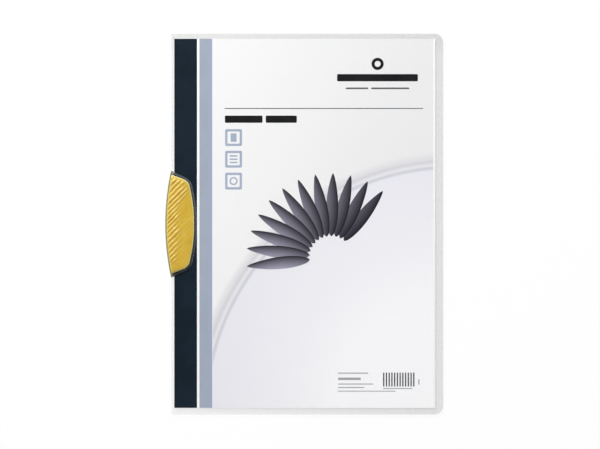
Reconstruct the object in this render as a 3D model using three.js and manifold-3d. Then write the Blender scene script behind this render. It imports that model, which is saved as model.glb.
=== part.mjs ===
// An A4 clip folder, lying closed on its back: a folded film cover, a printed insert sheet
// and a one-piece spring clip that grips the spine edge and swings out on a flat rivet.
// Units are millimetres. X runs from the spine to the opening edge, Y up the page, Z up.

import * as THREE from "three";
import { mergeVertices } from "three/addons/utils/BufferGeometryUtils.js";
import Module from "manifold-3d";

// Insert sheet: plain A4
const SHEET_WIDTH = 210;
const SHEET_HEIGHT = 297;
const SHEET_THICKNESS = 0.3;

// Film cover, with the margins that it leaves round the sheet
const MARGIN_SPINE = 2.6;
const MARGIN_OPENING = 6.4;
const MARGIN_TOP = 4.1;
const MARGIN_BOTTOM = 5.4;
const FILM_THICKNESS = 0.5;
const COVER_CORNER_RADIUS = 7;
const INSIDE_DEPTH = 0.9; // free height between the two films
const CREASE_FROM_SPINE = 21.7;
const CREASE_GAP = 0.3;

// Clip, seen from above: an outer bow on the spine side and two jaws that lie over each other
const CLIP_OVERHANG = 4.8; // how far the bow stands out past the spine at mid-length
const UPPER_HALF_LENGTH = 39.5;
const UPPER_TIP_WIDTH = 1.4;
const SHOULDER_FROM_TIP = 5; // from the tip back to the shoulder's corner
const SHOULDER_X = 14.5;
const SHOULDER_RADIUS = 8.5;
const FLANK_FROM_SHOULDER = 21.5;
const FLANK_X = 18.75;
const FLANK_STRAIGHT = 2.2; // straight run on each side of mid-length, between the two flank roundings
const LOWER_TIP_REACH = 3.4; // how far the lower jaw's tips reach past the upper one's
const LOWER_TIP_WIDTH = 0.5;
const LOWER_RIM = 2.2; // how far the lower jaw reaches past the upper one at shoulder and flank
const BOW_TIP_REACH = 0.5; // from the lower jaw's tips to where the bow would meet the spine

// Raised line on the cover's fixed strip, round the place of the upper jaw
const BEAD_FROM_JAW = 1.2;
const BEAD_WIDTH = 0.7;
const BEAD_HEIGHT = 0.2;
const BEAD_FROM_SPINE = 1.2;

// Clip, in section
const LOWER_JAW_THICKNESS = 1.4;
const LOWER_JAW_BEVEL = 0.35;
const UNDER_COVER_GAP = 0.15;
const OVER_COVER_GAP = 0.35;
const JAW_EDGE_THICKNESS = 0.9;
const EDGE_ROUND_WIDTH = 1.6;
const EDGE_ROUND_HEIGHT = 0.9;
const CROWN_HEIGHT = 0.9; // extra thickness of the upper jaw towards the spine
const SPINE_ROUND_WIDTH = 2.2;
const SPINE_ROUND_HEIGHT = 1.6;
const WEB_LEAN = 0.8; // how far the bow leans in between the jaws
const WEB_STEP = 0.1; // the web lies this far inside the upper jaw's edge
const WEB_TO_SPINE_GAP = 0.4;
const WEB_LEAST_WIDTH = 1;
const WEB_TO_PIVOT = 5.8; // the web stops this far short of the pivot, so that it can swing clear

// Shallow slanting ridges on the upper jaw
const RIDGE_PITCH = 4;
const RIDGE_HEIGHT = 0.45;
const RIDGE_SLANT = Math.PI / 4;
const RIDGE_WANDER = 0.12; // share of a pitch by which the crests wander
const RIDGE_REACH = 9; // from the spine to where the ridges have faded out
const RIDGE_REACH_AT_TOP = 15; // the same beside the top end, where they run on further
const RIDGE_FADE = 7; // length over which they fade

// Flat two-piece rivet that the lower jaw turns on
const PIVOT_FROM_SPINE = 6;
const PIVOT_FROM_TIP = 4.5; // from the upper jaw's top tip down to the pivot
const RIVET_SHANK_RADIUS = 2.6;
const RIVET_STUB_RADIUS = 1.4;
const RIVET_HEAD_RADIUS = 4.2;
const RIVET_HEAD_THICKNESS = 0.3;
const RIVET_CLEARANCE = 0.15;
const CAP_THICKNESS = 0.45;
const CAP_RECESS_DEPTH = 0.75;
const CAP_RECESS_RADIUS = 4.3;
const FACE_GAP = 0.05; // running gap between flat faces that lie on each other

// Fineness of the curved surfaces
const STATION_LENGTH = 0.72;
const JAW_COLUMNS = 22;
const COLUMN_CROWDING = 0.45; // 0 spaces the columns evenly, 1 crowds them at both edges
const BOW_STATIONS = 36;
const ROUND_SEGMENTS = 40;
const ARC_STEP = Math.PI / 24;

// Levels above the surface that the folder lies on
const backFilmBottom = LOWER_JAW_THICKNESS + UNDER_COVER_GAP;
const backFilmTop = backFilmBottom + FILM_THICKNESS;
const frontFilmBottom = backFilmTop + INSIDE_DEPTH;
const frontFilmTop = frontFilmBottom + FILM_THICKNESS;
const upperJawBottom = frontFilmTop + OVER_COVER_GAP;
const rivetHeadBottom = backFilmTop + FACE_GAP;
const sheetBottom = rivetHeadBottom + RIVET_HEAD_THICKNESS + FACE_GAP;

const coverWidth = MARGIN_SPINE + SHEET_WIDTH + MARGIN_OPENING;
const coverHeight = MARGIN_BOTTOM + SHEET_HEIGHT + MARGIN_TOP;
const lowerHalfLength = UPPER_HALF_LENGTH + LOWER_TIP_REACH;
const bowHalfChord = lowerHalfLength + BOW_TIP_REACH;
const bowRadius = (bowHalfChord ** 2 + CLIP_OVERHANG ** 2) / (2 * CLIP_OVERHANG);
const shoulderY = UPPER_HALF_LENGTH - SHOULDER_FROM_TIP;
const flankY = shoulderY - FLANK_FROM_SHOULDER;
const pivot = { x: PIVOT_FROM_SPINE, y: UPPER_HALF_LENGTH - PIVOT_FROM_TIP };

const wasm = await Module();
wasm.setup();

// Solids: a closed three.js geometry becomes a solid for joining and cutting, and comes back as a mesh.
function toSolid(geometry) {
  const bare = geometry.clone();
  bare.deleteAttribute("normal");
  bare.deleteAttribute("uv");
  const merged = mergeVertices(bare, 1e-4);
  return new wasm.Manifold(
    new wasm.Mesh({
      numProp: 3,
      vertProperties: merged.attributes.position.array,
      triVerts: new Uint32Array(merged.index.array),
    }),
  );
}

function toMesh(name, solid, material) {
  const { vertProperties, triVerts } = solid.getMesh();
  const geometry = new THREE.BufferGeometry();
  geometry.setAttribute("position", new THREE.BufferAttribute(vertProperties, 3));
  geometry.setIndex(new THREE.BufferAttribute(triVerts, 1));
  geometry.computeVertexNormals();
  const mesh = new THREE.Mesh(geometry, material);
  mesh.name = name;
  return mesh;
}

function indexed(points, faces) {
  const geometry = new THREE.BufferGeometry();
  geometry.setAttribute("position", new THREE.Float32BufferAttribute(points.flat(), 3));
  geometry.setIndex(faces.flat());
  return geometry;
}

function plate(shape, bottom, thickness) {
  const geometry = new THREE.ExtrudeGeometry(shape, {
    depth: thickness,
    bevelEnabled: false,
    curveSegments: ROUND_SEGMENTS / 4,
  });
  return toSolid(geometry.translate(0, 0, bottom));
}

function disc(radius, bottom, top, { x, y }) {
  const geometry = new THREE.CylinderGeometry(radius, radius, top - bottom, ROUND_SEGMENTS);
  geometry.rotateX(Math.PI / 2).translate(x, y, (bottom + top) / 2);
  return toSolid(geometry);
}

// Outlines: closed loops of Vector2, counter-clockwise seen from above.

// Replaces each corner that has a radius by an arc tangent to its two sides.
function roundCorners(corners) {
  const loop = [];
  corners.forEach(({ x, y, radius = 0 }, i) => {
    const here = new THREE.Vector2(x, y);
    if (!radius) {
      loop.push(here);
      return;
    }
    const count = corners.length;
    const before = new THREE.Vector2().copy(corners[(i + count - 1) % count]);
    const after = new THREE.Vector2().copy(corners[(i + 1) % count]);
    const toBefore = before.sub(here).normalize();
    const toAfter = after.sub(here).normalize();
    const half = Math.acos(THREE.MathUtils.clamp(toBefore.dot(toAfter), -1, 1)) / 2;
    const bisector = toBefore.clone().add(toAfter).normalize();
    const centre = here.clone().addScaledVector(bisector, radius / Math.sin(half));
    const start = here.clone().addScaledVector(toBefore, radius / Math.tan(half)).sub(centre);
    const end = here.clone().addScaledVector(toAfter, radius / Math.tan(half)).sub(centre);
    const sweep = Math.atan2(start.cross(end), start.dot(end));
    const steps = Math.max(2, Math.ceil(Math.abs(sweep) / ARC_STEP));
    for (let k = 0; k <= steps; k++) {
      loop.push(start.clone().rotateAround(new THREE.Vector2(), (sweep * k) / steps).add(centre));
    }
  });
  return loop;
}

// Moves each side of a loop inwards by the same distance.
function inset(loop, distance) {
  const count = loop.length;
  return loop.map((here, i) => {
    const before = here.clone().sub(loop[(i + count - 1) % count]).normalize();
    const after = loop[(i + 1) % count].clone().sub(here).normalize();
    const mitre = new THREE.Vector2(-before.y - after.y, before.x + after.x).normalize();
    const reach = distance / Math.max(0.5, mitre.x * -before.y + mitre.y * before.x);
    return here.clone().addScaledVector(mitre, reach);
  });
}

// Joins loops with equally many points, one above another, into a closed solid.
function loft(rings) {
  const count = rings[0].loop.length;
  const points = rings.flatMap(({ loop, z }) => loop.map((p) => [p.x, p.y, z]));
  const faces = [];
  for (let k = 0; k + 1 < rings.length; k++) {
    for (let i = 0; i < count; i++) {
      const a = k * count + i;
      const b = k * count + ((i + 1) % count);
      faces.push([a, b, b + count], [a, b + count, a + count]);
    }
  }
  const caps = THREE.ShapeUtils.triangulateShape(rings[0].loop, []);
  const top = (rings.length - 1) * count;
  caps.forEach(([a, b, c]) => faces.push([c, b, a], [top + a, top + b, top + c]));
  return toSolid(indexed(points, faces));
}

// The bow's outer edge: an arc that stands out most at mid-length.
function bowX(y, inward = 0) {
  return bowRadius - CLIP_OVERHANG - Math.sqrt(bowRadius ** 2 - y ** 2) + inward;
}

function bowEdge(fromY, toY, inward = 0) {
  const points = [];
  for (let k = 0; k <= BOW_STATIONS; k++) {
    const y = THREE.MathUtils.lerp(fromY, toY, k / BOW_STATIONS);
    points.push(new THREE.Vector2(bowX(y, inward), y));
  }
  return points;
}

// The flank's rounding reaches from the flank's corner down to the straight run at mid-length.
function flankCorner(shoulder, flank) {
  const turn = Math.atan2(flank.x - shoulder.x, shoulder.y - flank.y);
  return { ...flank, radius: (flank.y - FLANK_STRAIGHT) / Math.tan(turn / 2) };
}

// Corners of a jaw's free side, from its lower tip round to its upper tip.
function freeSide(tip, shoulder, flank) {
  const corners = [tip, { ...shoulder, radius: SHOULDER_RADIUS }, flankCorner(shoulder, flank)];
  const lowerHalf = corners.map((c) => ({ ...c, y: -c.y }));
  return [...lowerHalf, ...[...corners].reverse()];
}

const upperFreeSide = roundCorners(
  freeSide(
    { x: UPPER_TIP_WIDTH, y: UPPER_HALF_LENGTH },
    { x: SHOULDER_X, y: shoulderY },
    { x: FLANK_X, y: flankY },
  ),
);

const lowerFreeSide = roundCorners(
  freeSide(
    { x: LOWER_TIP_WIDTH, y: lowerHalfLength },
    { x: SHOULDER_X + LOWER_RIM, y: shoulderY + LOWER_RIM / 2 },
    { x: FLANK_X + LOWER_RIM, y: flankY },
  ),
);
const lowerOutline = [...lowerFreeSide, ...bowEdge(lowerHalfLength, -lowerHalfLength)];

// Upper jaw: a crowned top over a flat underside.

function freeSideX(y) {
  for (let i = 0; i + 1 < upperFreeSide.length; i++) {
    const a = upperFreeSide[i];
    const b = upperFreeSide[i + 1];
    if (y <= b.y) return THREE.MathUtils.mapLinear(y, a.y, b.y, a.x, b.x);
  }
  return UPPER_TIP_WIDTH;
}

function distanceToFreeSide(x, y) {
  const here = new THREE.Vector3(x, y, 0);
  const side = new THREE.Line3();
  const nearest = new THREE.Vector3();
  let least = Infinity;
  for (let i = 0; i + 1 < upperFreeSide.length; i++) {
    side.start.set(upperFreeSide[i].x, upperFreeSide[i].y, 0);
    side.end.set(upperFreeSide[i + 1].x, upperFreeSide[i + 1].y, 0);
    least = Math.min(least, side.closestPointToPoint(here, true, nearest).distanceTo(here));
  }
  return least;
}

// A quarter ellipse: 0 at the edge, 1 from the given width inwards.
function roundedEdge(distance, width) {
  const left = 1 - Math.min(Math.max(distance / width, 0), 1);
  return Math.sqrt(1 - left ** 2);
}

// Slanting crests that wander a little, strongest by the bow and gone before the free side.
function ridge(x, y, fromBow, fromFreeSide) {
  const { smoothstep, lerp } = THREE.MathUtils;
  const wave = (2 * Math.PI) / (3 * RIDGE_PITCH);
  const wander = RIDGE_WANDER * (Math.sin((x + y) * wave) + Math.sin((y / 2 - x) * wave));
  const phase = (y - x * Math.tan(RIDGE_SLANT)) / RIDGE_PITCH + wander;
  const crest = 0.5 + 0.5 * Math.cos(2 * Math.PI * phase);
  const towardsTop = smoothstep(y, UPPER_HALF_LENGTH / 4, UPPER_HALF_LENGTH * 0.7);
  const reach = lerp(RIDGE_REACH, RIDGE_REACH_AT_TOP, towardsTop);
  const across = 1 - smoothstep(x, reach - RIDGE_FADE, reach);
  const start = smoothstep(fromBow, 0, SPINE_ROUND_WIDTH);
  const end = smoothstep(fromFreeSide, EDGE_ROUND_WIDTH / 2, EDGE_ROUND_WIDTH * 2);
  return RIDGE_HEIGHT * crest * across * start * end;
}

function upperJawPoint(u, v) {
  const y = THREE.MathUtils.lerp(-UPPER_HALF_LENGTH, UPPER_HALF_LENGTH, v);
  const left = bowX(y, WEB_LEAN);
  const right = freeSideX(y);
  const across = u - (COLUMN_CROWDING * Math.sin(2 * Math.PI * u)) / (2 * Math.PI);
  const x = THREE.MathUtils.lerp(left, right, across);
  const fromFreeSide = distanceToFreeSide(x, y);
  const rim = EDGE_ROUND_HEIGHT * roundedEdge(fromFreeSide, EDGE_ROUND_WIDTH);
  const tipFade = roundedEdge(UPPER_HALF_LENGTH - Math.abs(y), EDGE_ROUND_WIDTH * 2);
  const shoulder = SPINE_ROUND_HEIGHT * (roundedEdge(x - left, SPINE_ROUND_WIDTH) - 1);
  const crown = CROWN_HEIGHT * THREE.MathUtils.clamp((FLANK_X - x) / FLANK_X, 0, 1);
  const rise = rim + crown * roundedEdge(fromFreeSide, EDGE_ROUND_WIDTH * 3) * tipFade;
  const cut = Math.max(shoulder, -rise) * tipFade;
  const z = upperJawBottom + JAW_EDGE_THICKNESS + rise + cut + ridge(x, y, x - left, fromFreeSide);
  return [x, y, z];
}

// A closed slab: a grid of top points, upright walls round it and a flat underside.
function gridSlab(columns, rows, pointAt, floorZ) {
  const top = [];
  for (let j = 0; j <= rows; j++) {
    for (let i = 0; i <= columns; i++) top.push(pointAt(i / columns, j / rows));
  }
  const at = (i, j) => j * (columns + 1) + i;
  const faces = [];
  for (let j = 0; j < rows; j++) {
    for (let i = 0; i < columns; i++) {
      faces.push([at(i, j), at(i + 1, j), at(i + 1, j + 1)]);
      faces.push([at(i, j), at(i + 1, j + 1), at(i, j + 1)]);
    }
  }
  const edge = [];
  for (let i = 0; i < columns; i++) edge.push(at(i, 0));
  for (let j = 0; j < rows; j++) edge.push(at(columns, j));
  for (let i = columns; i > 0; i--) edge.push(at(i, rows));
  for (let j = rows; j > 0; j--) edge.push(at(0, j));
  const floor = edge.map((k) => [top[k][0], top[k][1], floorZ]);
  edge.forEach((k, i) => {
    const next = (i + 1) % edge.length;
    const low = top.length + i;
    const lowNext = top.length + next;
    faces.push([low, lowNext, edge[next]], [low, edge[next], k]);
  });
  const outline = floor.map(([x, y]) => new THREE.Vector2(x, y));
  THREE.ShapeUtils.triangulateShape(outline, []).forEach(([a, b, c]) => {
    faces.push([top.length + c, top.length + b, top.length + a]);
  });
  return toSolid(indexed([...top, ...floor], faces));
}

// Web: joins the jaws outside the spine, leaning in as it rises.
function makeWeb() {
  const bottom = LOWER_JAW_THICKNESS / 2;
  const top = upperJawBottom + JAW_EDGE_THICKNESS / 2;
  const lean = WEB_LEAN + WEB_STEP;
  const leastX = -WEB_TO_SPINE_GAP - WEB_LEAST_WIDTH - lean;
  const lowEnd = -Math.sqrt(bowRadius ** 2 - (bowRadius - CLIP_OVERHANG - leastX) ** 2);
  const highEnd = pivot.y - WEB_TO_PIVOT;
  const innerCorners = [
    new THREE.Vector2(-WEB_TO_SPINE_GAP, lowEnd),
    new THREE.Vector2(-WEB_TO_SPINE_GAP, highEnd),
  ];
  const ring = (z, inward) => ({ loop: [...innerCorners, ...bowEdge(highEnd, lowEnd, inward)], z });
  return loft([
    ring(bottom, LOWER_JAW_BEVEL + WEB_STEP),
    ring(LOWER_JAW_THICKNESS, LOWER_JAW_BEVEL + WEB_STEP),
    ring(upperJawBottom, lean),
    ring(top, lean),
  ]);
}

function makeLowerJaw() {
  const slim = inset(lowerOutline, LOWER_JAW_BEVEL);
  return loft([
    { loop: slim, z: 0 },
    { loop: lowerOutline, z: LOWER_JAW_BEVEL },
    { loop: lowerOutline, z: LOWER_JAW_THICKNESS - LOWER_JAW_BEVEL },
    { loop: slim, z: LOWER_JAW_THICKNESS },
  ]);
}

function makeClip() {
  const rows = Math.round((2 * UPPER_HALF_LENGTH) / STATION_LENGTH);
  const upper = gridSlab(JAW_COLUMNS, rows, upperJawPoint, upperJawBottom);
  const bore = disc(RIVET_SHANK_RADIUS + RIVET_CLEARANCE, -1, upperJawBottom - OVER_COVER_GAP / 2, pivot);
  const recess = disc(CAP_RECESS_RADIUS + RIVET_CLEARANCE, -1, CAP_RECESS_DEPTH, pivot);
  return makeLowerJaw().add(makeWeb()).add(upper).subtract(bore).subtract(recess);
}

// Cover: one film, folded round the spine and creased beside the clip.
function coverOutline(fromX) {
  const r = COVER_CORNER_RADIUS;
  const shape = new THREE.Shape();
  shape.moveTo(fromX, 0);
  shape.lineTo(coverWidth - r, 0);
  shape.absarc(coverWidth - r, r, r, -Math.PI / 2, 0);
  shape.absarc(coverWidth - r, coverHeight - r, r, 0, Math.PI / 2);
  shape.lineTo(fromX, coverHeight);
  return shape;
}

function makeBackCover() {
  const outer = (frontFilmTop - backFilmBottom) / 2;
  const inner = outer - FILM_THICKNESS;
  const stripEnd = CREASE_FROM_SPINE - CREASE_GAP / 2;
  // Section across the spine, drawn with the height along its second axis
  const section = new THREE.Shape();
  section.moveTo(stripEnd, frontFilmTop);
  section.absarc(outer, backFilmBottom + outer, outer, Math.PI / 2, (3 * Math.PI) / 2);
  section.lineTo(coverWidth, backFilmBottom);
  section.lineTo(coverWidth, backFilmTop);
  section.absarc(outer, backFilmBottom + outer, inner, (3 * Math.PI) / 2, Math.PI / 2, true);
  section.lineTo(stripEnd, frontFilmBottom);
  const folded = new THREE.ExtrudeGeometry(section, {
    depth: coverHeight,
    bevelEnabled: false,
    curveSegments: ROUND_SEGMENTS / 4,
  });
  folded.rotateX(Math.PI / 2).translate(0, coverHeight, 0);
  const trim = plate(coverOutline(-1), 0, frontFilmTop + 1);
  const film = toSolid(folded).intersect(trim).translate([0, -coverHeight / 2, 0]);
  const hole = disc(RIVET_SHANK_RADIUS + RIVET_CLEARANCE, 0, backFilmTop + INSIDE_DEPTH / 2, pivot);
  return film.subtract(hole).add(makeBead());
}

// Raised line that follows the upper jaw's free side at a distance and closes beside the spine.
function makeBead() {
  const closing = [upperFreeSide.at(-1), upperFreeSide[0]].map(
    ({ y }) => new THREE.Vector2(BEAD_FROM_SPINE + BEAD_WIDTH + BEAD_FROM_JAW, y),
  );
  const free = upperFreeSide.filter(({ x }) => x > closing[0].x);
  const jaw = [...free, ...closing];
  const wide = inset(jaw, -BEAD_FROM_JAW - BEAD_WIDTH);
  const narrow = inset(jaw, -BEAD_FROM_JAW);
  const sunk = frontFilmTop - FILM_THICKNESS / 2;
  const top = frontFilmTop + BEAD_HEIGHT;
  const outer = loft([
    { loop: wide, z: sunk },
    { loop: wide, z: frontFilmTop },
    { loop: inset(wide, BEAD_WIDTH / 4), z: top },
  ]);
  const inner = loft([
    { loop: inset(narrow, BEAD_WIDTH / 4), z: frontFilmTop - FILM_THICKNESS },
    { loop: narrow, z: top + 1 },
  ]);
  return outer.subtract(inner);
}

function makeFrontCover() {
  const fromX = CREASE_FROM_SPINE + CREASE_GAP / 2;
  return plate(coverOutline(fromX), frontFilmBottom, FILM_THICKNESS).translate([0, -coverHeight / 2, 0]);
}

function makeInsertSheet() {
  const left = MARGIN_SPINE;
  const low = MARGIN_BOTTOM - coverHeight / 2;
  const shape = new THREE.Shape([
    new THREE.Vector2(left, low),
    new THREE.Vector2(left + SHEET_WIDTH, low),
    new THREE.Vector2(left + SHEET_WIDTH, low + SHEET_HEIGHT),
    new THREE.Vector2(left, low + SHEET_HEIGHT),
  ]);
  return plate(shape, sheetBottom, SHEET_THICKNESS);
}

// Rivet: a flat head inside the cover, a shank through film and jaw, and a cap pressed on its stub.
const capTop = CAP_RECESS_DEPTH - 2 * FACE_GAP;
const capBottom = capTop - CAP_THICKNESS;

function makeRivet() {
  const head = disc(RIVET_HEAD_RADIUS, rivetHeadBottom, rivetHeadBottom + RIVET_HEAD_THICKNESS, pivot);
  const shank = disc(RIVET_SHANK_RADIUS, capTop + FACE_GAP, rivetHeadBottom + FACE_GAP, pivot);
  const stub = disc(RIVET_STUB_RADIUS, capBottom, rivetHeadBottom, pivot);
  return head.add(shank).add(stub);
}

function makeCap() {
  const ring = disc(CAP_RECESS_RADIUS - RIVET_CLEARANCE, capBottom, capTop, pivot);
  return ring.subtract(disc(RIVET_STUB_RADIUS + RIVET_CLEARANCE, -1, capTop + 1, pivot));
}

const clearFilm = new THREE.MeshStandardMaterial({
  color: 0xe4e8e6,
  roughness: 0.35,
  transparent: true,
  opacity: 0.25,
});
const printedPaper = new THREE.MeshStandardMaterial({ color: 0xf4f4f6, roughness: 0.6 });
const yellowPlastic = new THREE.MeshStandardMaterial({ color: 0xd9b145, roughness: 0.4 });
const darkPlastic = new THREE.MeshStandardMaterial({ color: 0x3a3d40, roughness: 0.5 });

const folder = new THREE.Group();
folder.add(
  toMesh("back_cover", makeBackCover(), clearFilm),
  toMesh("front_cover", makeFrontCover(), clearFilm),
  toMesh("insert_sheet", makeInsertSheet(), printedPaper),
  toMesh("swing_clip", makeClip(), yellowPlastic),
  toMesh("pivot_rivet", makeRivet(), darkPlastic),
  toMesh("pivot_cap", makeCap(), darkPlastic),
);
folder.position.x = -(coverWidth - CLIP_OVERHANG) / 2;

export default folder;
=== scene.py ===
# A4 clip folder lying closed on its back: clear film cover, printed insert sheet, ribbed swing clip.
# Lengths in the dictionaries are millimetres; the meshes are metres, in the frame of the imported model.
import math

import bmesh
import bpy
import numpy as np
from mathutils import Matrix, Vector


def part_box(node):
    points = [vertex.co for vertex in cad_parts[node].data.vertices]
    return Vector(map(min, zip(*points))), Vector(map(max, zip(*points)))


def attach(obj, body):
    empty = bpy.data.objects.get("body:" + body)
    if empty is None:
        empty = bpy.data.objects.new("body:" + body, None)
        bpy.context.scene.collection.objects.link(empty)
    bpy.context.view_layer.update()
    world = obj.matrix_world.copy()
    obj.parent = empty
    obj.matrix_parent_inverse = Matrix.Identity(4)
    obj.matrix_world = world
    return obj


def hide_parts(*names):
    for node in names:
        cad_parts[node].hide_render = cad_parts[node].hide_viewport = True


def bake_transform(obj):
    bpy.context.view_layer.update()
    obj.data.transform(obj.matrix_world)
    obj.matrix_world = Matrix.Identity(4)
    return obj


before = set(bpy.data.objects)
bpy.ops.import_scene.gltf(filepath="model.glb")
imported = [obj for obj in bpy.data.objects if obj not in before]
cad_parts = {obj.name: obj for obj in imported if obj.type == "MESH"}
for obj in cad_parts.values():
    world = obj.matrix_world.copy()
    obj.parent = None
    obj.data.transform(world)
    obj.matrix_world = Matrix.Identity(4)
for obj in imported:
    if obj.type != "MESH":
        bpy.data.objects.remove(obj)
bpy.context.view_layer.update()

mm = 0.001
backLow, backHigh = (np.array(corner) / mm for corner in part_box("back_cover"))
frontLow, frontHigh = (np.array(corner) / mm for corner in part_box("front_cover"))
sheetLow, sheetHigh = (np.array(corner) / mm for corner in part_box("insert_sheet"))
clipLow = np.array(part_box("swing_clip")[0]) / mm
capLow, capHigh = (np.array(corner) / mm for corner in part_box("pivot_cap"))
spineX = backLow[0]
midNoise = (0.3, 0.7)  # most of a noise's values lie between these
print("frame: cover %.1f x %.1f mm, sheet top at %.2f mm" % (*(backHigh - backLow)[:2], sheetHigh[2]))


# Mesh helpers

# Puts points (n, 3) in millimetres and faces, as equal rows or as a list, into a new mesh piece, and turns
# every face of a closed surface outwards.
def makePiece(name, points, faces, smoothAngle=None):
    mesh = bpy.data.meshes.new(name)
    mesh.from_pydata((np.asarray(points) * mm).tolist(), [], [list(map(int, f)) for f in faces])
    shaper = bmesh.new()
    shaper.from_mesh(mesh)
    bmesh.ops.recalc_face_normals(shaper, faces=shaper.faces)
    shaper.to_mesh(mesh)
    shaper.free()
    piece = bpy.data.objects.new(name, mesh)
    bpy.context.collection.objects.link(piece)
    if smoothAngle:
        smoothPiece(piece, smoothAngle)
    return piece


# Smooth shading, except across edges sharper than the angle.
def smoothPiece(piece, angle):
    mesh = piece.data
    mesh.polygons.foreach_set("use_smooth", np.ones(len(mesh.polygons), bool))
    mesh.set_sharp_from_angle(angle=math.radians(angle))
    mesh.update()


# Gives a piece its material, the body it rides on, and the imported nodes that it replaces.
def finishPiece(piece, body, slot, material, *nodes):
    piece.data.materials.clear()
    piece.data.materials.append(material)
    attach(piece, body)
    if nodes:
        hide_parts(*nodes)
    return piece


# Quads of a grid of rows by columns points; a closed grid joins its last column to its first.
def gridQuads(rows, columns, closed=False):
    last = columns if closed else columns - 1
    r, c = np.meshgrid(np.arange(rows - 1), np.arange(last), indexing="ij")
    nextColumn = (c + 1) % columns
    here, above = r * columns, (r + 1) * columns
    corners = [here + c, here + nextColumn, above + nextColumn, above + c]
    return np.stack(corners, -1).reshape(-1, 4)


# Rings of equally many points, one above another, joined by quads and closed by one face at each end.
def loftFaces(rings, count):
    faces = gridQuads(rings, count, closed=True).tolist()
    faces.append(list(range(count))[::-1])
    faces.append(list(range((rings - 1) * count, rings * count)))
    return faces


# Points of loops laid at heights, one ring after another.
def loft(loops, heights):
    rings = [np.column_stack([loop, np.full(len(loop), z)]) for loop, z in zip(loops, heights)]
    return np.concatenate(rings)


# Moves a closed loop inwards (counter-clockwise loops) along the mean normal of its two sides.
def insetLoop(loop, distance):
    before = loop - np.roll(loop, 1, axis=0)
    after = np.roll(loop, -1, axis=0) - loop
    before /= np.linalg.norm(before, axis=1)[:, None]
    after /= np.linalg.norm(after, axis=1)[:, None]
    normal = np.column_stack([-before[:, 1] - after[:, 1], before[:, 0] + after[:, 0]])
    normal /= np.linalg.norm(normal, axis=1)[:, None]
    mitre = np.maximum(0.5, -normal[:, 0] * before[:, 1] + normal[:, 1] * before[:, 0])
    return loop + normal * (distance / mitre)[:, None]


# Replaces every corner (x, y, radius) by an arc that touches both of its sides.
def roundCorners(corners, steps=14):
    rounded = []
    for i, (x, y, radius) in enumerate(corners):
        here = np.array([x, y])
        if radius == 0:
            rounded.append(here[None])
            continue
        toBefore = np.array(corners[i - 1][:2]) - here
        toAfter = np.array(corners[(i + 1) % len(corners)][:2]) - here
        toBefore /= np.linalg.norm(toBefore)
        toAfter /= np.linalg.norm(toAfter)
        half = math.acos(np.clip(toBefore @ toAfter, -1, 1)) / 2
        bisector = (toBefore + toAfter) / np.linalg.norm(toBefore + toAfter)
        centre = here + bisector * radius / math.sin(half)
        start = here + toBefore * radius / math.tan(half) - centre
        end = here + toAfter * radius / math.tan(half) - centre
        sweep = math.atan2(start[0] * end[1] - start[1] * end[0], start @ end)
        turn = np.linspace(0, sweep, steps + 1)
        x2 = start[0] * np.cos(turn) - start[1] * np.sin(turn)
        y2 = start[0] * np.sin(turn) + start[1] * np.cos(turn)
        rounded.append(np.column_stack([x2, y2]) + centre)
    return np.concatenate(rounded)


# A soft step from 0 at the low value to 1 at the high one: three squares less two cubes.
def smoothstep(value, low, high):
    t = np.clip((value - low) / (high - low), 0, 1)
    return t * t * (3 - 2 * t)


# A quarter circle: 0 at the edge, 1 from the given width inwards.
def roundedEdge(distance, width):
    return np.sqrt(np.clip(1 - (1 - np.clip(distance / width, 0, 1)) ** 2, 0, 1))


# Material helpers

# An empty material, its node tree and its output.
def newMaterial(name):
    material = bpy.data.materials.new(name)
    material.use_nodes = True
    tree = material.node_tree
    tree.nodes.clear()
    output = tree.nodes.new("ShaderNodeOutputMaterial")
    return material, tree, output


# A node with its settings; each input takes a value or a link from another node's output.
def addNode(tree, kind, inputs=None, **settings):
    node = tree.nodes.new(kind)
    for key, value in settings.items():
        setattr(node, key, value)
    for key, value in (inputs or {}).items():
        socket = node.inputs[key]
        if isinstance(value, bpy.types.NodeSocket):
            tree.links.new(value, socket)
        else:
            socket.default_value = value
    return node


def objectPlace(tree):
    return addNode(tree, "ShaderNodeTexCoord").outputs["Object"]


def noise(tree, place, scale, detail=2.0, roughness=0.5):
    settings = {"Vector": place, "Scale": scale, "Detail": detail, "Roughness": roughness}
    return addNode(tree, "ShaderNodeTexNoise", settings).outputs["Fac"]


def math2(tree, operation, a, b=0.0, c=0.0, clamp=False):
    node = addNode(tree, "ShaderNodeMath", {0: a, 1: b, 2: c}, operation=operation, use_clamp=clamp)
    return node.outputs[0]


def mapRange(tree, value, fromLow, fromHigh, toLow=0.0, toHigh=1.0, smooth=True):
    kind = "SMOOTHSTEP" if smooth else "LINEAR"
    sockets = {"Value": value, "From Min": fromLow, "From Max": fromHigh, "To Min": toLow, "To Max": toHigh}
    return addNode(tree, "ShaderNodeMapRange", sockets, interpolation_type=kind).outputs["Result"]


def mixColour(tree, factor, a, b):
    node = addNode(tree, "ShaderNodeMix", data_type="RGBA")
    for socket, value in zip([node.inputs[0], node.inputs[6], node.inputs[7]], [factor, a, b]):
        if isinstance(value, bpy.types.NodeSocket):
            tree.links.new(value, socket)
        else:
            socket.default_value = value
    return node.outputs[2]


def bump(tree, height, strength, distance):
    sockets = {"Height": height, "Strength": strength, "Distance": distance * mm}
    return addNode(tree, "ShaderNodeBump", sockets).outputs["Normal"]


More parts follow.
